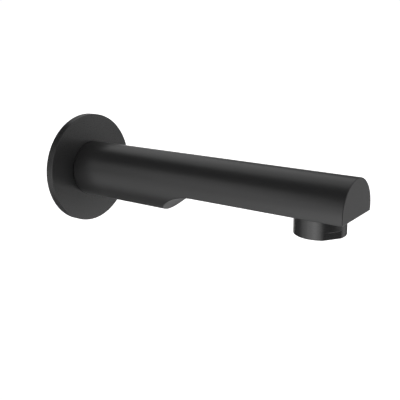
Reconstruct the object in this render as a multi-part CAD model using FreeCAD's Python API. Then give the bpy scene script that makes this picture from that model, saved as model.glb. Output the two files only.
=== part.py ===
import FreeCAD, Part
import math
import os

# Wall-mounted bath spout, in millimetres.
# +Z is up, the wall is the plane Y = 0 and the spout reaches out along -Y.
# The origin is where the inlet's axis meets the wall.

# Wall flange
FLANGE_DIAMETER = 70.0
FLANGE_THICKNESS = 5.0
FLANGE_FACE_WALL = 2.0
FLANGE_RIM_WALL = 2.0
FLANGE_HUB_WALL = 2.5
FLANGE_EDGE_ROUND = 0.3
FLANGE_BORE_ROUND = 0.3
FLANGE_BORE_CLEARANCE = 0.3
FOAM_CLEARANCE = 0.2

# Spout body
BODY_DIAMETER = 35.0
REACH = 190.0
BODY_EDGE_ROUND = 0.5
NECK_STEP = 0.9
SHADOW_GAP = 0.3
SHOULDER_ROUND = 0.6

# Underside: a hollow that is scooped out of the round barrel and runs into a flat
SCOOP_START = 70.0
SCOOP_RADIUS = 36.0
FLAT_BELOW_AXIS = 3.5

# Ring seal between the neck and the flange
RING_SECTION = 1.8
RING_FROM_WALL = 2.5
RING_GROOVE_SPARE = 0.35
SEAL_CLEARANCE = 0.03

# Inlet socket: G1/2 thread, drawn as a plain wall at the thread's root
INLET_THREAD_BORE = 20.955
INLET_THREAD_LENGTH = 12.0
INLET_CHAMFER = 1.0
INLET_RELIEF_BORE = 21.8
INLET_RELIEF_LENGTH = 3.5
INLET_WASHER_DIAMETER = 18.5
INLET_WASHER_BORE = 12.0
INLET_WASHER_THICKNESS = 2.0

# Waterway: round behind the scoop, then a flat oval above the outlet
WATERWAY_BORE = 14.0
WATERWAY_RISE_BEFORE_SCOOP = 12.0
WATERWAY_RISE_LENGTH = 40.0
WATERWAY_STATIONS = 7
OVAL_WIDTH = 17.0
OVAL_HEIGHT = 9.5
OVAL_ABOVE_SEAT = 0.25
GALLERY_PAST_OUTLET = 9.0
GALLERY_END_ROUND = 2.0

# Outlet socket in the body: M24 x 1 thread, drawn as its plain inner wall
OUTLET_FROM_TIP = 20.0
OUTLET_THREAD_BORE = 22.918
OUTLET_SEAT_BORE = 15.0
THREAD_CLEARANCE = 0.05

# Nozzle housing: a collar with two spanner flats and a threaded neck
COLLAR_DIAMETER = 28.0
COLLAR_HEIGHT = 11.0
COLLAR_EDGE_ROUND = 0.25
FLATS_WIDTH = 26.0
FLATS_HEIGHT = 4.0
FLATS_EDGE_BREAK = 0.3
FLATS_TURN = 35.0
HOUSING_NECK_HEIGHT = 6.0
HOUSING_BORE = 20.2
HOUSING_LIP_BORE = 18.4
HOUSING_LIP_HEIGHT = 1.8
HOUSING_LIP_CHAMFER = 0.6

# Insert that mixes air into the water
INSERT_CLEARANCE = 0.1
SHELL_WALL = 1.0
SHELL_STEP = 0.6
SHELL_LIP_WIDTH = 1.0
SHELL_LIP_HEIGHT = 1.0
SHELL_FOOT_HEIGHT = 0.8
CHAMBER_HEIGHT = 4.8
AIR_SLOT_COUNT = 8
AIR_SLOT_WIDTH = 1.6
AIR_SLOT_DEPTH = 0.5
AIR_WINDOW_HEIGHT = 2.0
STRAIGHTENER_HEIGHT = 3.0
STRAIGHTENER_RIM = 0.6
CELL_WIDTH = 2.1
CELL_WALL = 0.5
GRID_HEIGHT = 2.0
GRID_RIM = 1.0
GRID_SPOKES = 12
GRID_BAR = 0.5
GRID_HUB_DIAMETER = 2.6
GRID_RING_DIAMETER = 9.2
JET_PLATE_THICKNESS = 1.2
JET_BORE = 1.2
INNER_JETS = 10
INNER_JET_CIRCLE = 9.2
OUTER_JETS = 16
OUTER_JET_CIRCLE = 14.0
SIEVE_RIM_WIDTH = 1.1
SIEVE_RIM_HEIGHT = 1.2
SIEVE_DOME_HEIGHT = 5.0
SIEVE_WALL = 0.6
SIEVE_SLOTS = 12
SIEVE_SLOT_WIDTH = 0.8
SIEVE_CAP_DIAMETER = 4.0
SIEVE_SLOT_TOP_CIRCLE = 13.4
GASKET_THICKNESS = 1.5
GASKET_BORE = 16.0
GASKET_CLEARANCE = 0.25

# How far a cutting tool runs past the face that it cuts
CUT_MARGIN = 5.0

# Sizes that follow from the ones above
FLANGE_R = FLANGE_DIAMETER / 2
BODY_R = BODY_DIAMETER / 2
NECK_R = BODY_R - NECK_STEP
FLANGE_BORE_R = NECK_R + FLANGE_BORE_CLEARANCE
HUB_R = FLANGE_BORE_R + FLANGE_HUB_WALL
RIM_INNER_R = FLANGE_R - FLANGE_RIM_WALL
SHOULDER_Y = -(FLANGE_THICKNESS + SHADOW_GAP)
RING_OUTER_R = FLANGE_BORE_R - SEAL_CLEARANCE
RING_INNER_R = RING_OUTER_R - RING_SECTION
UNDERSIDE_Z = -FLAT_BELOW_AXIS
WATERWAY_RISE_START = SCOOP_START - WATERWAY_RISE_BEFORE_SCOOP
OUTLET_FROM_WALL = REACH - OUTLET_FROM_TIP
RELIEF_Y = -(INLET_CHAMFER + INLET_THREAD_LENGTH)
INLET_FLOOR_Y = RELIEF_Y - INLET_RELIEF_LENGTH
COLLAR_R = COLLAR_DIAMETER / 2
COLLAR_BOTTOM_Z = UNDERSIDE_Z - COLLAR_HEIGHT
FLATS_TOP_Z = COLLAR_BOTTOM_Z + FLATS_HEIGHT
NECK_TOP_Z = UNDERSIDE_Z + HOUSING_NECK_HEIGHT
SEAT_Z = NECK_TOP_Z + SHELL_LIP_HEIGHT + GASKET_THICKNESS
OVAL_Z = SEAT_Z + OVAL_ABOVE_SEAT + OVAL_HEIGHT / 2
SHELL_R = HOUSING_BORE / 2 - INSERT_CLEARANCE
SHELL_BORE_R = SHELL_R - SHELL_WALL
CHAMBER_R = SHELL_BORE_R - SHELL_STEP
STACK_R = SHELL_BORE_R - INSERT_CLEARANCE
SHELL_FOOT_Z = COLLAR_BOTTOM_Z + HOUSING_LIP_HEIGHT
STRAIGHTENER_Z = SHELL_FOOT_Z + SHELL_FOOT_HEIGHT
GRID_Z = STRAIGHTENER_Z + STRAIGHTENER_HEIGHT
CHAMBER_Z = GRID_Z + GRID_HEIGHT
JET_PLATE_Z = CHAMBER_Z + CHAMBER_HEIGHT
SIEVE_Z = JET_PLATE_Z + JET_PLATE_THICKNESS
DOME_R = STACK_R - SIEVE_RIM_WIDTH

X_AXIS = FreeCAD.Vector(1, 0, 0)
Y_AXIS = FreeCAD.Vector(0, 1, 0)
Z_AXIS = FreeCAD.Vector(0, 0, 1)
ORIGIN = FreeCAD.Vector(0, 0, 0)
OUTLET = FreeCAD.Vector(0, -OUTLET_FROM_WALL, 0)


def rod_along_y(radius, y_from, y_to):
    """Round bar about the inlet axis, from one distance to a further one."""
    return Part.makeCylinder(radius, y_from - y_to, FreeCAD.Vector(0, y_from, 0), -Y_AXIS)


def rod_upright(radius, z_from, z_to):
    """Round bar about the outlet's upright axis."""
    return Part.makeCylinder(radius, z_to - z_from, OUTLET + Z_AXIS * z_from, Z_AXIS)


def turned_about_inlet(outline):
    """Solid turned about the inlet axis from (radius, y) corners."""
    corners = [FreeCAD.Vector(radius, y, 0) for radius, y in outline]
    face = Part.Face(Part.makePolygon(corners + corners[:1]))
    return face.revolve(ORIGIN, Y_AXIS, 360)


def turned_about_outlet(outline):
    """Solid turned about the outlet axis from (radius, z) corners."""
    corners = [OUTLET + FreeCAD.Vector(radius, 0, z) for radius, z in outline]
    face = Part.Face(Part.makePolygon(corners + corners[:1]))
    return face.revolve(OUTLET, Z_AXIS, 360)


def ring_edges(shape, centre, radius):
    """Full-circle edges of a shape with this centre and radius."""
    found = []
    for edge in shape.Edges:
        if edge.Degenerated:
            continue
        curve = edge.Curve
        if isinstance(curve, Part.Circle) and abs(curve.Radius - radius) < 1e-6:
            if curve.Center.distanceToPoint(centre) < 1e-6:
                found.append(edge)
    return found


def repeated(shape, count):
    """Copies of a shape, evenly spaced about the outlet axis."""
    copies = []
    for index in range(count):
        copy = shape.copy()
        copy.rotate(OUTLET, Z_AXIS, 360.0 * index / count)
        copies.append(copy)
    return copies


def bar_at_outlet(width, inner, outer, z_from, z_to):
    """Rectangular bar that points away from the outlet axis along +X."""
    corner = OUTLET + FreeCAD.Vector(inner, -width / 2, z_from)
    return Part.makeBox(outer - inner, width, z_to - z_from, corner)


# Wall flange and its seals


def wall_flange():
    """Turned disc with a hollow back: face, rim and a hub round the spout's neck."""
    back_of_face = FLANGE_FACE_WALL - FLANGE_THICKNESS
    disc = turned_about_inlet(
        [
            (FLANGE_R, 0),
            (FLANGE_R, -FLANGE_THICKNESS),
            (FLANGE_BORE_R, -FLANGE_THICKNESS),
            (FLANGE_BORE_R, 0),
            (HUB_R, 0),
            (HUB_R, back_of_face),
            (RIM_INNER_R, back_of_face),
            (RIM_INNER_R, 0),
        ]
    )
    front = FreeCAD.Vector(0, -FLANGE_THICKNESS, 0)
    disc = disc.makeFillet(FLANGE_EDGE_ROUND, ring_edges(disc, front, FLANGE_R))
    return disc.makeFillet(FLANGE_BORE_ROUND, ring_edges(disc, front, FLANGE_BORE_R))


def flange_foam_seal():
    """Foam ring that fills the flange's hollow back and meets the wall."""
    outer = RIM_INNER_R - FOAM_CLEARANCE
    inner = HUB_R + FOAM_CLEARANCE
    depth = FLANGE_THICKNESS - FLANGE_FACE_WALL
    return rod_along_y(outer, 0, -depth).cut(rod_along_y(inner, 0, -depth))


def flange_ring_seal():
    """Rubber ring in the neck's groove, which grips the flange's bore."""
    section = RING_SECTION / 2
    centre = FreeCAD.Vector(0, -RING_FROM_WALL, 0)
    return Part.makeTorus(RING_OUTER_R - section, section, centre, Y_AXIS)


# Spout body


def barrel_with_scoop():
    """Round barrel and neck, with the hollow scooped out below and its edges rounded."""
    barrel = rod_along_y(BODY_R, SHOULDER_Y, -REACH).cut(scoop_tool())
    barrel = barrel.makeFillet(BODY_EDGE_ROUND, [e for e in barrel.Edges if is_sharp_edge(e)])
    foot = FreeCAD.Vector(0, SHOULDER_Y, 0)
    barrel = barrel.makeFillet(SHOULDER_ROUND, ring_edges(barrel, foot, BODY_R))
    return barrel.fuse(rod_along_y(NECK_R, 0, SHOULDER_Y))


def is_sharp_edge(edge):
    """True for the sharp edges round the underside and the end face."""
    box = edge.BoundBox
    on_seam = box.XLength < 1e-6 and box.ZLength < 1e-6 and abs(box.XMax) < 1e-6
    across_flat = box.YLength < 1e-6 and box.ZLength < 1e-6 and box.YMax > 1e-6 - REACH
    at_foot = box.YMin > SHOULDER_Y - 1e-6
    return not (on_seam or across_flat or at_foot)


def scoop_tool():
    """Cutter for the underside: an arc that meets the flat smoothly, then the flat."""
    depth = BODY_R - FLAT_BELOW_AXIS
    centre_z = UNDERSIDE_Z - SCOOP_RADIUS
    run = math.sqrt(SCOOP_RADIUS**2 - (SCOOP_RADIUS - depth) ** 2)
    flat_from = -(SCOOP_START + run)
    floor = -(BODY_R + CUT_MARGIN)
    beyond = -(REACH + CUT_MARGIN)
    half_width = BODY_R + CUT_MARGIN

    def on_arc(z):
        y = flat_from + math.sqrt(SCOOP_RADIUS**2 - (z - centre_z) ** 2)
        return FreeCAD.Vector(-half_width, y, z)

    low = on_arc(floor)
    top = FreeCAD.Vector(-half_width, flat_from, UNDERSIDE_Z)
    far = FreeCAD.Vector(-half_width, beyond, UNDERSIDE_Z)
    under = FreeCAD.Vector(-half_width, beyond, floor)
    arc = Part.Arc(low, on_arc(-BODY_R), top).toShape()
    lines = [Part.makeLine(a, b) for a, b in ((top, far), (far, under), (under, low))]
    return Part.Face(Part.Wire([arc] + lines)).extrude(X_AXIS * 2 * half_width)


def oval_wire(half_width, half_height, y, z):
    """Upright oval across the waterway."""
    centre = FreeCAD.Vector(0, y, z)
    curve = Part.Ellipse(centre + X_AXIS * half_width, centre + Z_AXIS * half_height, centre)
    return Part.Wire(curve.toShape())


def rising_bend():
    """Waterway's rise from the round bore to the oval, eased in at both ends."""
    wires = []
    for index in range(WATERWAY_STATIONS):
        share = index / (WATERWAY_STATIONS - 1)
        eased = share * share * (3 - 2 * share)
        half_width = (WATERWAY_BORE + (OVAL_WIDTH - WATERWAY_BORE) * eased) / 2
        half_height = (WATERWAY_BORE + (OVAL_HEIGHT - WATERWAY_BORE) * eased) / 2
        y = -(WATERWAY_RISE_START + WATERWAY_RISE_LENGTH * share)
        wires.append(oval_wire(half_width, half_height, y, OVAL_Z * eased))
    return Part.makeLoft(wires, True)


def gallery():
    """Oval passage above the outlet, with a rounded blind end past it."""
    oval_from = -(WATERWAY_RISE_START + WATERWAY_RISE_LENGTH)
    blind_end = -(OUTLET_FROM_WALL + GALLERY_PAST_OUTLET)
    section = Part.Face(oval_wire(OVAL_WIDTH / 2, OVAL_HEIGHT / 2, oval_from, OVAL_Z))
    passage = section.extrude(Y_AXIS * (blind_end - oval_from))
    end_edges = [edge for edge in passage.Edges if edge.BoundBox.YMax < blind_end + 1e-6]
    return passage.makeFillet(GALLERY_END_ROUND, end_edges)


def waterway_tools():
    """Cutters for the cored passage, from the inlet's floor to the outlet's seat."""
    straight = rod_along_y(WATERWAY_BORE / 2, INLET_FLOOR_Y, -WATERWAY_RISE_START)
    drop = rod_upright(OUTLET_SEAT_BORE / 2, SEAT_Z, OVAL_Z)
    return [straight, rising_bend(), gallery(), drop]


def inlet_socket():
    """Threaded socket, its mouth chamfer and the relief that holds the washer."""
    thread_r = INLET_THREAD_BORE / 2
    relief_r = INLET_RELIEF_BORE / 2
    return turned_about_inlet(
        [
            (0, CUT_MARGIN),
            (thread_r + INLET_CHAMFER + CUT_MARGIN, CUT_MARGIN),
            (thread_r, -INLET_CHAMFER),
            (thread_r, RELIEF_Y),
            (relief_r, RELIEF_Y),
            (relief_r, INLET_FLOOR_Y),
            (0, INLET_FLOOR_Y),
        ]
    )


def ring_groove():
    """Groove in the neck for the flange's ring seal."""
    half = RING_SECTION / 2 + RING_GROOVE_SPARE
    floor = RING_INNER_R - SEAL_CLEARANCE
    outer = rod_along_y(BODY_R, half - RING_FROM_WALL, -half - RING_FROM_WALL)
    return outer.cut(rod_along_y(floor, half - RING_FROM_WALL, -half - RING_FROM_WALL))


def spout_body():
    """Cast body: neck, barrel, scooped underside, inlet, waterway and outlet socket."""
    outlet_socket = rod_upright(OUTLET_THREAD_BORE / 2, UNDERSIDE_Z - CUT_MARGIN, SEAT_Z)
    body = barrel_with_scoop()
    for tool in [inlet_socket(), outlet_socket, ring_groove()] + waterway_tools():
        body = body.cut(tool)
    return body


def inlet_washer():
    """Flat washer on the floor of the inlet socket."""
    top = INLET_FLOOR_Y + INLET_WASHER_THICKNESS
    disc = rod_along_y(INLET_WASHER_DIAMETER / 2, top, INLET_FLOOR_Y)
    return disc.cut(rod_along_y(INLET_WASHER_BORE / 2, top, INLET_FLOOR_Y))


# Nozzle


def nozzle_housing():
    """Collar with two spanner flats below and the threaded neck above."""
    neck_r = OUTLET_THREAD_BORE / 2 - THREAD_CLEARANCE
    bore_r = HOUSING_BORE / 2
    lip_r = HOUSING_LIP_BORE / 2
    body = turned_about_outlet(
        [
            (COLLAR_R, COLLAR_BOTTOM_Z),
            (COLLAR_R, UNDERSIDE_Z),
            (neck_r, UNDERSIDE_Z),
            (neck_r, NECK_TOP_Z),
            (bore_r, NECK_TOP_Z),
            (bore_r, SHELL_FOOT_Z),
            (lip_r, SHELL_FOOT_Z),
            (lip_r, COLLAR_BOTTOM_Z + HOUSING_LIP_CHAMFER),
            (lip_r + HOUSING_LIP_CHAMFER, COLLAR_BOTTOM_Z),
        ]
    )
    for tool in flats_tools():
        body = body.cut(tool)
    bottom = [edge for edge in body.Edges if is_collar_bottom_edge(edge)]
    return body.makeFillet(COLLAR_EDGE_ROUND, bottom)


def flats_tools():
    """Cutters for the two spanner flats, turned to where the housing stops."""
    width = COLLAR_DIAMETER + CUT_MARGIN
    inner = FLATS_WIDTH / 2
    outer = COLLAR_R + CUT_MARGIN
    flat = bar_at_outlet(width, inner, outer, COLLAR_BOTTOM_Z - CUT_MARGIN, FLATS_TOP_Z)
    above = bar_at_outlet(width, inner, outer, FLATS_TOP_Z, FLATS_TOP_Z + CUT_MARGIN)
    tool = flat.fuse(above.common(flats_edge_break()))
    tool.rotate(OUTLET, Z_AXIS, -90 - FLATS_TURN)
    return repeated(tool, 2)


def flats_edge_break():
    """Ring that takes the sharp edge off the collar just above a flat."""
    return turned_about_outlet(
        [
            (COLLAR_R - FLATS_EDGE_BREAK, FLATS_TOP_Z),
            (COLLAR_R + FLATS_EDGE_BREAK, FLATS_TOP_Z),
            (COLLAR_R + FLATS_EDGE_BREAK, FLATS_TOP_Z + 2 * FLATS_EDGE_BREAK),
        ]
    )


def is_collar_bottom_edge(edge):
    """True for the outer edges of the collar's bottom face."""
    low = abs(edge.BoundBox.ZMax - COLLAR_BOTTOM_Z) < 1e-6
    middle = edge.valueAt((edge.FirstParameter + edge.LastParameter) / 2)
    reach = middle.distanceToPoint(OUTLET + Z_AXIS * COLLAR_BOTTOM_Z)
    return low and reach > FLATS_WIDTH / 2 - 1e-3


def nozzle_gasket():
    """Flat rubber ring pressed on the outlet's seat."""
    outer = OUTLET_THREAD_BORE / 2 - GASKET_CLEARANCE
    bottom = SEAT_Z - GASKET_THICKNESS
    return rod_upright(outer, bottom, SEAT_Z).cut(rod_upright(GASKET_BORE / 2, bottom, SEAT_Z))


def insert_shell():
    """Moulded cup that carries the insert's parts, with channels that draw in air."""
    lip_r = SHELL_R + SHELL_LIP_WIDTH
    lip_top = NECK_TOP_Z + SHELL_LIP_HEIGHT
    shell = turned_about_outlet(
        [
            (SHELL_R, SHELL_FOOT_Z),
            (SHELL_R, NECK_TOP_Z),
            (lip_r, NECK_TOP_Z),
            (lip_r, lip_top),
            (SHELL_BORE_R, lip_top),
            (SHELL_BORE_R, JET_PLATE_Z),
            (CHAMBER_R, JET_PLATE_Z),
            (CHAMBER_R, CHAMBER_Z),
            (SHELL_BORE_R, CHAMBER_Z),
            (SHELL_BORE_R, STRAIGHTENER_Z),
            (CHAMBER_R, STRAIGHTENER_Z),
            (CHAMBER_R, SHELL_FOOT_Z),
        ]
    )
    return shell.cut(Part.Compound(repeated(air_channel(), AIR_SLOT_COUNT)))


def air_channel():
    """Cutter for one air path: notch under the foot, groove up the wall, window inside."""
    beyond = SHELL_R + SHELL_LIP_WIDTH
    window_top = JET_PLATE_Z - AIR_SLOT_DEPTH
    notch_top = SHELL_FOOT_Z + AIR_SLOT_DEPTH
    low = SHELL_FOOT_Z - CUT_MARGIN
    inside = CHAMBER_R - SHELL_WALL
    groove = bar_at_outlet(AIR_SLOT_WIDTH, SHELL_R - AIR_SLOT_DEPTH, beyond, low, window_top)
    notch = bar_at_outlet(AIR_SLOT_WIDTH, inside, beyond, low, notch_top)
    window_low = window_top - AIR_WINDOW_HEIGHT
    window = bar_at_outlet(AIR_SLOT_WIDTH, inside, beyond, window_low, window_top)
    return groove.multiFuse([notch, window]).removeSplitter()


def flow_straightener():
    """Honeycomb disc at the mouth of the nozzle."""
    top = STRAIGHTENER_Z + STRAIGHTENER_HEIGHT
    disc = rod_upright(STACK_R, STRAIGHTENER_Z, top)
    return disc.cut(Part.Compound(honeycomb_cells()))


def honeycomb_cells():
    """Six-sided cutters on a staggered grid, kept inside the disc's rim."""
    pitch = CELL_WIDTH + CELL_WALL
    row_pitch = pitch * math.sqrt(3) / 2
    corner_r = CELL_WIDTH / math.sqrt(3)
    limit = STACK_R - STRAIGHTENER_RIM - corner_r
    rows = int(limit / row_pitch) + 1
    columns = int(limit / pitch) + 1
    cells = []
    for row in range(-rows, rows + 1):
        for column in range(-columns, columns + 1):
            x = (column + (row % 2) / 2) * pitch
            y = row * row_pitch
            if math.hypot(x, y) <= limit:
                cells.append(hexagon_prism(x, y, corner_r))
    return cells


def hexagon_prism(x, y, corner_r):
    """One honeycomb cell, with its points along Y."""
    centre = OUTLET + FreeCAD.Vector(x, y, STRAIGHTENER_Z)
    turns = [math.radians(60 * index + 30) for index in range(7)]
    corners = [centre + FreeCAD.Vector(math.cos(a), math.sin(a), 0) * corner_r for a in turns]
    return Part.Face(Part.makePolygon(corners)).extrude(Z_AXIS * STRAIGHTENER_HEIGHT)


def splash_grid():
    """Ring with spokes that breaks the jets up and mixes in air."""
    top = GRID_Z + GRID_HEIGHT
    rim = rod_upright(STACK_R, GRID_Z, top).cut(rod_upright(STACK_R - GRID_RIM, GRID_Z, top))
    ring_r = (GRID_RING_DIAMETER + GRID_BAR) / 2
    ring = rod_upright(ring_r, GRID_Z, top).cut(rod_upright(ring_r - GRID_BAR, GRID_Z, top))
    hub = rod_upright(GRID_HUB_DIAMETER / 2, GRID_Z, top)
    spoke = bar_at_outlet(GRID_BAR, 0, STACK_R - GRID_RIM / 2, GRID_Z, top)
    return rim.multiFuse([ring, hub] + repeated(spoke, GRID_SPOKES)).removeSplitter()


def jet_plate():
    """Plate whose two circles of fine holes set the flow."""
    top = JET_PLATE_Z + JET_PLATE_THICKNESS
    plate = rod_upright(STACK_R, JET_PLATE_Z, top)
    holes = []
    for count, circle in ((INNER_JETS, INNER_JET_CIRCLE), (OUTER_JETS, OUTER_JET_CIRCLE)):
        hole = rod_upright(JET_BORE / 2, JET_PLATE_Z, top)
        hole.translate(X_AXIS * circle / 2)
        holes += repeated(hole, count)
    return plate.cut(Part.Compound(holes))


def inlet_sieve():
    """Slotted dome that keeps grit out of the jets."""
    rim_top = SIEVE_Z + SIEVE_RIM_HEIGHT
    rim = rod_upright(STACK_R, SIEVE_Z, rim_top).cut(
        rod_upright(DOME_R - SIEVE_WALL, SIEVE_Z, rim_top)
    )
    dome = domed_cap(DOME_R, SIEVE_DOME_HEIGHT, rim_top).cut(
        domed_cap(DOME_R - SIEVE_WALL, SIEVE_DOME_HEIGHT - SIEVE_WALL, rim_top)
    )
    slot = bar_at_outlet(
        SIEVE_SLOT_WIDTH,
        SIEVE_CAP_DIAMETER / 2,
        SIEVE_SLOT_TOP_CIRCLE / 2,
        rim_top,
        rim_top + SIEVE_DOME_HEIGHT + CUT_MARGIN,
    )
    dome = dome.cut(Part.Compound(repeated(slot, SIEVE_SLOTS)))
    return rim.fuse(dome).removeSplitter()


def domed_cap(radius, height, base_z):
    """Solid cap: an arc from the rim to the crown, turned about the outlet axis."""
    sphere_r = (radius**2 + height**2) / (2 * height)
    centre_z = base_z + height - sphere_r
    ball = Part.makeSphere(sphere_r, OUTLET + Z_AXIS * centre_z)
    above = rod_upright(sphere_r + CUT_MARGIN, base_z, centre_z + sphere_r + CUT_MARGIN)
    return ball.common(above)


PIECES = {
    "spout_body": spout_body,
    "wall_flange": wall_flange,
    "flange_foam_seal": flange_foam_seal,
    "flange_ring_seal": flange_ring_seal,
    "inlet_washer": inlet_washer,
    "nozzle_housing": nozzle_housing,
    "nozzle_gasket": nozzle_gasket,
    "insert_shell": insert_shell,
    "inlet_sieve": inlet_sieve,
    "jet_plate": jet_plate,
    "splash_grid": splash_grid,
    "flow_straightener": flow_straightener,
}

os.makedirs("parts", exist_ok=True)
for name, build in PIECES.items():
    build().exportStep("parts/" + name + ".step")
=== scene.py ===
"""Looks of a matt black bath spout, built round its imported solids.

Every length is in metres and every angle in degrees, unless a name says otherwise. The frame is the
part's own: +Z is up, the wall is the plane Y = 0 and the spout reaches out along -Y.
"""

import logging
import math
from dataclasses import dataclass, field
from enum import Enum

import bpy
from mathutils import Matrix, Vector


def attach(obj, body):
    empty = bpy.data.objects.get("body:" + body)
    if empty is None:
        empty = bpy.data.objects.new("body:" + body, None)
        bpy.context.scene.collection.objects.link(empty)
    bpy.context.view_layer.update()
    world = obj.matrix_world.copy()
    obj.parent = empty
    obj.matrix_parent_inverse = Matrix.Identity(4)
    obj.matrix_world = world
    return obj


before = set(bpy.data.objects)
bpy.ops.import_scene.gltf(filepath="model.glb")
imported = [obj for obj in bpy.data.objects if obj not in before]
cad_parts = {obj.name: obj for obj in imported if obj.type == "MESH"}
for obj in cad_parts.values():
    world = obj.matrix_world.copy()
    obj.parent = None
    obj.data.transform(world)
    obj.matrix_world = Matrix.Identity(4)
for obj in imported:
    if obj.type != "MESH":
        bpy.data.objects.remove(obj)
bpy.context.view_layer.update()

BODY = "root"
MIDDLE = (0.0, -0.095, 0.0)  # half way out along the spout's axis
MIX_SHARE, MIX_LOW, MIX_HIGH, MIX_RESULT = 0, 6, 7, 2  # the Mix node's sockets for colours
log = logging.getLogger("bath_spout")


class Signal:
    """A number that changes over a surface. An expression on signals adds its Math nodes."""

    def __init__(self, graph: "Graph", socket: bpy.types.NodeSocket) -> None:
        """Wraps one output socket.

        Args:
            graph: The graph that the socket belongs to.
            socket: The output socket.
        """
        self.graph = graph
        self.socket = socket

    def __add__(self, other: "Signal | float") -> "Signal":
        """Sum of two signals, or of a signal and a number."""
        return self.graph.math("ADD", self, other)

    def __radd__(self, other: float) -> "Signal":
        """Sum with a number on the left."""
        return self.graph.math("ADD", other, self)

    def __sub__(self, other: "Signal | float") -> "Signal":
        """Difference of two signals, or of a signal and a number."""
        return self.graph.math("SUBTRACT", self, other)

    def __rsub__(self, other: float) -> "Signal":
        """Difference with a number on the left."""
        return self.graph.math("SUBTRACT", other, self)

    def __mul__(self, other: "Signal | float") -> "Signal":
        """Product of two signals, or of a signal and a number."""
        return self.graph.math("MULTIPLY", self, other)

    def __rmul__(self, other: float) -> "Signal":
        """Product with a number on the left."""
        return self.graph.math("MULTIPLY", other, self)

    def above(self, level: float, width: float) -> "Signal":
        """Soft step up from 0 to 1 at a level.

        Args:
            level: Where the step is half way.
            width: How far the step runs.

        Returns:
            The step as a signal.
        """
        return self.graph.math("ADD", (self - level) * (1.0 / width), 0.5, clamp=True)


class Graph:
    """Node tree of one material or world, with a method for each kind of step."""

    def __init__(self, tree: bpy.types.NodeTree) -> None:
        """Empties a node tree and takes it over.

        Args:
            tree: The tree to fill.
        """
        self.tree = tree
        tree.nodes.clear()

    def node(
        self, kind: str, settings: dict | None = None, inputs: dict | None = None
    ) -> bpy.types.Node:
        """Adds one node, with its settings first and then its inputs.

        Args:
            kind: Blender's type name of the node.
            settings: Attribute names with their values.
            inputs: Socket names or numbers with a value, a signal or an output socket.

        Returns:
            The new node.
        """
        made = self.tree.nodes.new(kind)
        for name, value in (settings or {}).items():
            setattr(made, name, value)
        for name, value in (inputs or {}).items():
            if isinstance(value, Signal):
                value = value.socket
            if isinstance(value, bpy.types.NodeSocket):
                self.tree.links.new(value, made.inputs[name])
            else:
                made.inputs[name].default_value = value
        return made

    def math(self, operation: str, *values: "Signal | float", clamp: bool = False) -> Signal:
        """Adds one Math node.

        Args:
            operation: Name of the operation.
            *values: Signals or numbers, in the order of the node's inputs.
            clamp: Whether the result stays between 0 and 1.

        Returns:
            The result.
        """
        settings = {"operation": operation, "use_clamp": clamp}
        made = self.node("ShaderNodeMath", settings, dict(enumerate(values)))
        return Signal(self, made.outputs[0])

    def place(self) -> bpy.types.NodeSocket:
        """Point on the surface in the part's own frame.

        Returns:
            The point as an output socket.
        """
        return self.node("ShaderNodeTexCoord").outputs["Object"]

    def axes(self) -> tuple[Signal, Signal, Signal]:
        """Splits the point on the surface.

        Returns:
            X, Y and Z of the point, as signals.
        """
        split = self.node("ShaderNodeSeparateXYZ", inputs={"Vector": self.place()})
        return tuple(Signal(self, split.outputs[axis]) for axis in "XYZ")

    def noise(
        self, scale: float, detail: float = 2.0, stretch: tuple = (1.0, 1.0, 1.0)
    ) -> Signal:
        """Soft random pattern over the part.

        Args:
            scale: How many features there are to a metre.
            detail: How many finer layers are laid on top.
            stretch: Factor on the scale along X, Y and Z.

        Returns:
            A signal round 0.5.
        """
        mapping = self.node("ShaderNodeMapping", inputs={"Vector": self.place(), "Scale": stretch})
        inputs = {"Vector": mapping.outputs[0], "Scale": scale, "Detail": detail}
        return Signal(self, self.node("ShaderNodeTexNoise", inputs=inputs).outputs[0])

    def cells(self, scale: float) -> Signal:
        """Distance to the nearest of many scattered points.

        Args:
            scale: How many cells there are to a metre.

        Returns:
            0 at a cell's middle and about 1 at its edge.
        """
        inputs = {"Vector": self.place(), "Scale": scale}
        return Signal(self, self.node("ShaderNodeTexVoronoi", inputs=inputs).outputs["Distance"])

    def mix(
        self,
        share: Signal,
        low: "tuple | bpy.types.NodeSocket",
        high: "tuple | bpy.types.NodeSocket",
    ) -> bpy.types.NodeSocket:
        """Colour between two colours.

        Args:
            share: 0 gives the low colour and 1 the high one.
            low: First colour, as linear red, green and blue or as an output socket.
            high: Second colour, in the same way.

        Returns:
            The colour as an output socket.
        """
        low, high = ((*c, 1.0) if isinstance(c, tuple) else c for c in (low, high))
        inputs = {MIX_SHARE: share, MIX_LOW: low, MIX_HIGH: high}
        return self.node("ShaderNodeMix", {"data_type": "RGBA"}, inputs).outputs[MIX_RESULT]

    def seen(self, mirrored: bool) -> Signal:
        """1 for the rays that look at a background, and 0 for those that gather light.

        Args:
            mirrored: Whether mirror-like rays count too, besides the camera's and those through
                glass.

        Returns:
            The sum of the rays' flags, kept at 1 or less.
        """
        path = self.node("ShaderNodeLightPath").outputs
        straight = Signal(self, path["Is Camera Ray"])
        through = Signal(self, path["Is Transmission Ray"])
        glossy = Signal(self, path["Is Glossy Ray"])
        return self.math("ADD", straight, through + glossy if mirrored else through, clamp=True)

    def bump(self, height: Signal, depth: float) -> bpy.types.NodeSocket:
        """Normal of a surface with fine relief.

        Args:
            height: Height of the relief, from 0 to 1.
            depth: How high 1 stands, in metres.

        Returns:
            The normal as an output socket.
        """
        inputs = {"Height": height, "Distance": depth, "Strength": 1.0}
        return self.node("ShaderNodeBump", inputs=inputs).outputs[0]

    def surface(self, inputs: dict) -> None:
        """Ends a material in one Principled shader.

        Args:
            inputs: The shader's sockets with values, signals or output sockets.
        """
        shader = self.node("ShaderNodeBsdfPrincipled", inputs=inputs)
        self.node("ShaderNodeOutputMaterial", inputs={"Surface": shader.outputs[0]})


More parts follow.
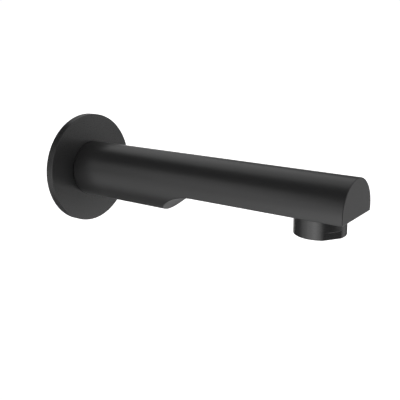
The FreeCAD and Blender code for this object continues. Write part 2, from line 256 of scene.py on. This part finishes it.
class Slot(Enum):
    """Material slots of the record, listed by name; nothing here puts a piece in them."""

    BARE_BRASS = "bare_brass"


@dataclass(frozen=True)
class Finish:
    """What every finish shares: a colour between two close ones, a gloss and a fine relief."""

    name: str
    low: tuple
    high: tuple
    roughness: float
    swing: float
    scale: float
    depth: float = 0.0
    metallic: float = 0.0

    def material(self) -> bpy.types.Material:
        """Material of this finish, made at its first use.

        Returns:
            The material.
        """
        made = bpy.data.materials.get(self.name)
        if made is None:
            made = bpy.data.materials.new(self.name)
            made.use_nodes = True
            self.build(Graph(made.node_tree))
        return made

    def pattern(self, graph: Graph) -> Signal:
        """Fine pattern that colour, gloss and relief share.

        Args:
            graph: The graph that the pattern goes into.

        Returns:
            The pattern, from 0 to 1.
        """
        return graph.noise(self.scale)

    def tone(self, graph: Graph, pattern: Signal) -> bpy.types.NodeSocket:
        """Colour of the surface.

        Args:
            graph: The graph that the colour goes into.
            pattern: The fine pattern, from 0 to 1.

        Returns:
            The colour as an output socket.
        """
        return graph.mix(pattern, self.low, self.high)

    def gloss(self, pattern: Signal) -> Signal:
        """Roughness of the surface.

        Args:
            pattern: The fine pattern, from 0 to 1.

        Returns:
            The roughness, which swings round the finish's own.
        """
        return self.roughness + self.swing * (pattern - 0.5)

    def build(self, graph: Graph) -> None:
        """Fills the material's graph.

        Args:
            graph: The empty graph.
        """
        pattern = self.pattern(graph)
        graph.surface(
            {
                "Base Color": self.tone(graph, pattern),
                "Roughness": self.gloss(pattern),
                "Metallic": self.metallic,
                "Normal": graph.bump(pattern, self.depth),
            }
        )

    def dress(self, piece: bpy.types.Object) -> None:
        """Puts the finish on a piece in place of whatever it has.

        Args:
            piece: The piece to dress.
        """
        piece.data.materials.clear()
        piece.data.materials.append(self.material())


@dataclass(frozen=True)
class BlackCoat(Finish):
    """Matt black coat, baked on brass: an even grain, and faint clouds in the black."""

    name: str = "matt_black_coat"
    low: tuple = (0.0220, 0.0220, 0.0224)
    high: tuple = (0.0260, 0.0260, 0.0264)
    roughness: float = 0.34
    swing: float = 0.05
    scale: float = 2600.0
    depth: float = 0.000006
    cloud_scale: float = 70.0
    cloud_detail: float = 3.0
    cloud_share: float = 0.75

    def tone(self, graph: Graph, pattern: Signal) -> bpy.types.NodeSocket:
        """Colour of the coat: mostly the clouds, a little of the grain.

        Args:
            graph: The graph that the colour goes into.
            pattern: The grain, from 0 to 1.

        Returns:
            The colour as an output socket.
        """
        clouds = graph.noise(self.cloud_scale, self.cloud_detail)
        share = self.cloud_share * clouds + (1.0 - self.cloud_share) * pattern
        return graph.mix(share, self.low, self.high)


@dataclass(frozen=True)
class TurnedCoat(BlackCoat):
    """The coat on the turned pieces: a shade paler and smoother than on the casting."""

    name: str = "matt_black_coat_turned"
    low: tuple = (0.0280, 0.0280, 0.0284)
    high: tuple = (0.0320, 0.0320, 0.0324)
    roughness: float = 0.28


@dataclass(frozen=True)
class BareBrass(Finish):
    """Turned brass without a coat, with the tool's fine rings round the inlet's axis."""

    name: str = "bare_brass"
    low: tuple = (0.50, 0.36, 0.14)
    high: tuple = (0.68, 0.52, 0.23)
    roughness: float = 0.30
    swing: float = 0.16
    scale: float = 5200.0
    depth: float = 0.000007
    metallic: float = 1.0
    stretch: tuple = (0.03, 1.0, 0.03)

    def pattern(self, graph: Graph) -> Signal:
        """Rings that follow each other along the axis.

        Args:
            graph: The graph that the rings go into.

        Returns:
            The rings, from 0 to 1.
        """
        return graph.noise(self.scale, stretch=self.stretch)


@dataclass(frozen=True)
class BodyCoat(BlackCoat):
    """The coat on the body, which stops at the inlet's mouth: further in, the brass is bare."""

    name: str = "matt_black_coat_over_brass"
    brass: BareBrass = field(default_factory=BareBrass)
    bore_radius: float = 0.0112
    bore_depth: float = 0.066
    border: float = 0.0003

    def bare(self, graph: Graph) -> Signal:
        """Mask of the bare brass.

        Args:
            graph: The graph that the mask goes into.

        Returns:
            1 inside the inlet and its bore, and 0 elsewhere.
        """
        x, y, z = graph.axes()
        off_axis = x * x + z * z
        outside = off_axis.above(self.bore_radius**2, 2.0 * self.bore_radius * self.border)
        return (1.0 - outside) * y.above(-self.bore_depth, self.border)

    def build(self, graph: Graph) -> None:
        """Fills the material's graph.

        Args:
            graph: The empty graph.
        """
        bare = self.bare(graph)
        grain, rings = self.pattern(graph), self.brass.pattern(graph)
        coat, brass = self.tone(graph, grain), self.brass.tone(graph, rings)
        gloss = self.gloss(grain) * (1.0 - bare) + self.brass.gloss(rings) * bare
        relief = grain * (1.0 - bare) + rings * bare
        graph.surface(
            {
                "Base Color": graph.mix(bare, coat, brass),
                "Roughness": gloss,
                "Metallic": bare,
                "Normal": graph.bump(relief, self.depth),
            }
        )


@dataclass(frozen=True)
class Rubber(Finish):
    """Black sealing rubber with a dusty grain."""

    name: str = "seal_rubber"
    low: tuple = (0.014, 0.014, 0.014)
    high: tuple = (0.026, 0.025, 0.025)
    roughness: float = 0.72
    swing: float = 0.1
    scale: float = 3200.0
    depth: float = 0.00001


@dataclass(frozen=True)
class Foam(Finish):
    """Closed-cell foam, cut from a sheet."""

    name: str = "foam"
    low: tuple = (0.045, 0.045, 0.046)
    high: tuple = (0.115, 0.114, 0.112)
    roughness: float = 0.88
    swing: float = -0.08
    scale: float = 1500.0
    depth: float = 0.00012

    def pattern(self, graph: Graph) -> Signal:
        """Cells of the foam.

        Args:
            graph: The graph that the cells go into.

        Returns:
            0 at a cell's middle and about 1 at its edge.
        """
        return graph.cells(self.scale)


@dataclass(frozen=True)
class InsertPlastic(Finish):
    """Pale moulded plastic of the nozzle's insert."""

    name: str = "insert_plastic"
    low: tuple = (0.52, 0.53, 0.54)
    high: tuple = (0.60, 0.61, 0.62)
    roughness: float = 0.42
    swing: float = 0.12
    scale: float = 1800.0
    depth: float = 0.000008


@dataclass(frozen=True)
class StudioWhite(Finish):
    """Pale stuff of the floor and the card, lifted to white for the camera and through glass.

    A card that the coat mirrors is lifted for mirror-like rays too.
    """

    name: str = "studio_floor"
    low: tuple = (0.78, 0.78, 0.78)
    high: tuple = (0.82, 0.82, 0.82)
    roughness: float = 0.9
    swing: float = 0.05
    scale: float = 8.0
    lift: float = 1.0
    mirrored: bool = False

    def build(self, graph: Graph) -> None:
        """Fills the material's graph.

        Args:
            graph: The empty graph.
        """
        grain = self.pattern(graph)
        seen = graph.seen(self.mirrored)
        graph.surface(
            {
                "Base Color": self.tone(graph, grain),
                "Roughness": self.gloss(grain),
                "Specular IOR Level": 0.0,
                "Emission Color": graph.mix(seen, (0.0, 0.0, 0.0), (self.lift,) * 3),
                "Emission Strength": 1.0,
            }
        )


@dataclass
class Outside:
    """The three coated pieces that the eye sees: body, wall flange and nozzle housing."""

    body_coat: BodyCoat = field(default_factory=BodyCoat)
    turned_coat: TurnedCoat = field(default_factory=TurnedCoat)

    def dress(self) -> None:
        """Puts the coat on each piece."""
        finishes = {
            "spout_body": self.body_coat,
            "wall_flange": self.turned_coat,
            "nozzle_housing": self.turned_coat,
        }
        for name, finish in finishes.items():
            finish.dress(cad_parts[name])
            log.info("%s: %s", name, finish.name)


@dataclass
class InletThread:
    """Ridge of the G1/2 thread inside the inlet, which the solids leave out.

    The ridge is a right-hand helix that stands inwards from the socket's wall. Its crest rises out
    of the wall over the run-in and sinks back into it at the other end.
    """

    name: str = "inlet_thread"
    wall_radius: float = 0.0104775
    crest_radius: float = 0.0093155
    pitch: float = 0.001814
    mouth_y: float = -0.0016
    turns: float = 6.0
    run_in: float = 0.5
    steps_per_turn: int = 72
    sunk: float = 0.00012
    foot_share: float = 0.47
    crest_share: float = 0.08
    shoulder_share: float = 0.12
    shoulder_spread: float = 1.6
    sharp_angle: float = 35.0
    brass: BareBrass = field(default_factory=BareBrass)

    def profile(self, share: float) -> list[tuple[float, float]]:
        """Section of the ridge.

        Args:
            share: How much of its full height the ridge has here.

        Returns:
            Pairs of offset along the axis and distance from it, round the section.
        """
        foot = self.wall_radius + self.sunk
        crest = self.wall_radius - share * (self.wall_radius - self.crest_radius)
        shoulder = crest + self.shoulder_share * (self.wall_radius - crest)
        wide, narrow = self.foot_share * self.pitch, self.crest_share * self.pitch
        side = self.shoulder_spread * narrow
        rising = [(-wide, foot), (-side, shoulder), (-narrow, crest)]
        return rising + [(-offset, radius) for offset, radius in reversed(rising)]

    def build(self) -> bpy.types.Object:
        """Makes the ridge and dresses it in brass.

        Returns:
            The new piece.
        """
        steps = round(self.turns * self.steps_per_turn)
        points, faces = [], []
        for step in range(steps + 1):
            turn = step / self.steps_per_turn
            share = min(1.0, turn / self.run_in, (self.turns - turn) / self.run_in)
            angle = 2.0 * math.pi * turn
            middle = self.mouth_y - self.pitch * (turn + self.foot_share)
            for offset, radius in self.profile(share):
                x, z = radius * math.cos(angle), -radius * math.sin(angle)
                points.append((x, middle - offset, z))
        count = len(self.profile(1.0))
        for step in range(steps):
            low, high = step * count, (step + 1) * count
            for i in range(count):
                after = (i + 1) % count
                faces.append((low + i, low + after, high + after, high + i))
        faces.append(tuple(reversed(range(count))))
        faces.append(tuple(range(steps * count, (steps + 1) * count)))
        mesh = bpy.data.meshes.new(self.name)
        mesh.from_pydata(points, [], faces)
        mesh.shade_smooth()
        mesh.set_sharp_from_angle(angle=math.radians(self.sharp_angle))
        piece = bpy.data.objects.new(self.name, mesh)
        bpy.context.scene.collection.objects.link(piece)
        self.brass.dress(piece)
        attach(piece, BODY)
        log.info("%s: %d turns, %s", self.name, self.turns, self.brass.name)
        return piece


@dataclass
class Seals:
    """Rubber and foam that lie between the pieces."""

    rubber_nodes: tuple = ("flange_ring_seal", "inlet_washer", "nozzle_gasket")
    foam_nodes: tuple = ("flange_foam_seal",)
    rubber: Rubber = field(default_factory=Rubber)
    foam: Foam = field(default_factory=Foam)

    def dress(self) -> None:
        """Puts rubber and foam on their pieces."""
        for finish, names in ((self.rubber, self.rubber_nodes), (self.foam, self.foam_nodes)):
            for name in names:
                finish.dress(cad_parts[name])
                log.info("%s: %s", name, finish.name)


@dataclass
class NozzleInsert:
    """The moulded pieces that mix air into the water."""

    nodes: tuple = ("insert_shell", "inlet_sieve", "jet_plate", "splash_grid", "flow_straightener")
    plastic: InsertPlastic = field(default_factory=InsertPlastic)

    def dress(self) -> None:
        """Puts the plastic on each piece."""
        for name in self.nodes:
            self.plastic.dress(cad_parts[name])
            log.info("%s: %s", name, self.plastic.name)


@dataclass(frozen=True)
class PhotoCamera:
    """Camera that stands where the photograph's camera stood.

    It stands out along -Y at azimuth 0 and along +X at azimuth 90. The target is the point that it
    is placed by, and aside and raised say how far right and up of the picture's middle that is.
    """

    azimuth: float = -53.680
    elevation: float = 15.781
    roll: float = -0.902
    distance: float = 0.392081
    target: tuple = (0.0, -0.090, 0.0)
    aside: float = -0.002087
    raised: float = 0.008900
    focal_px: float = 668.49
    image_px: float = 400.0
    sensor_mm: float = 36.0
    near_clip: float = 0.01

    def build(self) -> bpy.types.Object:
        """Makes the camera and sets it as the scene's own.

        Returns:
            The camera object.
        """
        turn, tilt, roll = (math.radians(a) for a in (self.azimuth, self.elevation, self.roll))
        flat = math.cos(tilt)
        back = Vector((math.sin(turn) * flat, -math.cos(turn) * flat, math.sin(tilt)))
        level = Vector((math.cos(turn), math.sin(turn), 0.0))
        right = level * math.cos(roll) + back.cross(level) * math.sin(roll)
        up = back.cross(right)
        lens = bpy.data.cameras.new("photo_camera")
        lens.sensor_width = self.sensor_mm
        lens.lens = self.focal_px / self.image_px * self.sensor_mm
        lens.clip_start = self.near_clip
        camera = bpy.data.objects.new("photo_camera", lens)
        seen_point = Vector(self.target) - right * self.aside - up * self.raised
        camera.location = seen_point + back * self.distance
        camera.rotation_euler = Matrix((right, up, back)).transposed().to_euler()
        bpy.context.scene.collection.objects.link(camera)
        bpy.context.scene.camera = camera
        return camera


def direction(azimuth: float, elevation: float) -> Vector:
    """Unit vector towards a place round the spout.

    Args:
        azimuth: Degrees from +X towards +Y.
        elevation: Degrees up from level.

    Returns:
        The vector.
    """
    turn, tilt = math.radians(azimuth), math.radians(elevation)
    flat = math.cos(tilt)
    return Vector((math.cos(turn) * flat, math.sin(turn) * flat, math.sin(tilt)))


@dataclass(frozen=True)
class Softbox:
    """Round soft lamp that faces the spout.

    The direction is given as azimuth, 0 towards +X and 90 towards +Y, and elevation. The spread is
    the angle from the lamp's middle to its edge, as the spout sees it. The radiance is how bright
    the lamp's face is, and its power follows from that and its area.
    """

    name: str
    azimuth: float
    elevation: float
    spread: float
    radiance: float
    distance: float = 1.0
    target: tuple = MIDDLE

    def build(self) -> bpy.types.Object:
        """Makes the lamp.

        Returns:
            The lamp object.
        """
        away = direction(self.azimuth, self.elevation)
        radius = self.distance * math.tan(math.radians(self.spread))
        lamp = bpy.data.lights.new(self.name, "AREA")
        lamp.shape = "DISK"
        lamp.size = 2 * radius
        lamp.energy = self.radiance * (math.pi * radius) ** 2
        placed = bpy.data.objects.new(self.name, lamp)
        placed.location = Vector(self.target) + away * self.distance
        placed.rotation_euler = away.to_track_quat("Z", "Y").to_euler()
        placed.visible_camera = False
        bpy.context.scene.collection.objects.link(placed)
        return placed


@dataclass
class Studio:
    """Plain studio: a pale floor well below the spout, a wide white card behind it and soft lamps.

    The card fills most of the photograph's background, so the coat's edges mirror it. Beyond it the
    studio is dim, and white only to the camera and through glass.
    """

    floor_drop: float = 1.5
    floor_side: float = 30.0
    floor_white: StudioWhite = field(default_factory=StudioWhite)
    card_azimuth: float = 36.1
    card_elevation: float = -12.0
    card_distance: float = 1.4
    card_half_width: float = 0.7
    card_half_height: float = 0.4
    card_sides: int = 96
    card_white: StudioWhite = field(
        default_factory=lambda: StudioWhite(name="studio_card", mirrored=True)
    )
    middle: tuple = MIDDLE
    surround: tuple = (0.02, 0.02, 0.02)
    lamps: tuple = (
        Softbox("lamp_left_low", 172.0, -20.0, 42.0, 0.75),
        Softbox("lamp_left_wide", 160.0, -22.0, 42.0, 0.24),
        Softbox("lamp_left_middle", 185.0, -20.0, 30.0, 0.97),
        Softbox("lamp_left_core", 190.0, -18.0, 10.0, 1.06),
        Softbox("lamp_left_back", 145.0, 25.0, 15.0, 1.03),
        Softbox("lamp_front_high", -70.0, 30.0, 45.0, 0.79),
        Softbox("lamp_front_low", -40.0, -45.0, 25.0, 2.34),
        Softbox("lamp_front_level", -30.0, -5.0, 15.0, 0.51),
        Softbox("lamp_right_high", 40.0, 50.0, 25.0, 0.40),
        Softbox("lamp_right_top", 35.0, 55.0, 30.0, 0.42),
        Softbox("lamp_back_left", 50.0, 12.0, 15.0, 0.28),
        Softbox("lamp_back_right", 25.0, 12.0, 20.0, 0.08),
        Softbox("lamp_back_low", 30.0, -50.0, 15.0, 0.60),
    )

    def build(self) -> None:
        """Makes floor, card, surround and lamps."""
        self.build_floor()
        self.build_card()
        self.build_surround()
        for lamp in self.lamps:
            lamp.build()
            log.info("%s at %.0f, %.0f", lamp.name, lamp.azimuth, lamp.elevation)

    @staticmethod
    def place_stage(name: str, corners: list[tuple], finish: StudioWhite) -> bpy.types.Object:
        """Makes one flat face of the studio.

        Args:
            name: Name of the face.
            corners: Its corners in order.
            finish: What it is made of.

        Returns:
            The face.
        """
        mesh = bpy.data.meshes.new(name)
        mesh.from_pydata(corners, [], [tuple(range(len(corners)))])
        face = bpy.data.objects.new(name, mesh)
        bpy.context.scene.collection.objects.link(face)
        finish.dress(face)
        return face

    def build_floor(self) -> None:
        """Makes the floor."""
        half, z = self.floor_side / 2, -self.floor_drop
        corners = [(-half, -half, z), (half, -half, z), (half, half, z), (-half, half, z)]
        self.place_stage("floor", corners, self.floor_white)

    def build_card(self) -> None:
        """Makes the oval card behind the spout, which faces it."""
        away = direction(self.card_azimuth, self.card_elevation)
        turned = away.to_track_quat("Z", "Y").to_matrix()
        centre = Vector(self.middle) + away * self.card_distance
        corners = []
        for step in range(self.card_sides):
            angle = 2.0 * math.pi * step / self.card_sides
            across = self.card_half_width * math.cos(angle)
            along = self.card_half_height * math.sin(angle)
            corners.append(tuple(centre + turned @ Vector((across, along, 0.0))))
        self.place_stage("card", corners, self.card_white)

    def build_surround(self) -> None:
        """Makes the world: an even dim grey, which is lifted to white for the camera and glass.

        The lift goes a shade past white, so that rounding leaves none of it grey.
        """
        world = bpy.data.worlds.new("surround")
        world.use_nodes = True
        graph = Graph(world.node_tree)
        lifted = tuple(grey + self.floor_white.lift for grey in self.surround)
        colour = graph.mix(graph.seen(mirrored=False), self.surround, lifted)
        background = graph.node("ShaderNodeBackground", inputs={"Color": colour, "Strength": 1.0})
        graph.node("ShaderNodeOutputWorld", inputs={"Surface": background.outputs[0]})
        bpy.context.scene.world = world


def main() -> None:
    """Builds the studio, the camera and the looks of each sub-assembly."""
    logging.basicConfig(level=logging.INFO, format="%(name)s %(message)s")
    bpy.context.scene.view_settings.view_transform = "Standard"
    PhotoCamera().build()
    Studio().build()
    Outside().dress()
    InletThread().build()
    Seals().dress()
    NozzleInsert().dress()


if __name__ == "__main__":
    main()
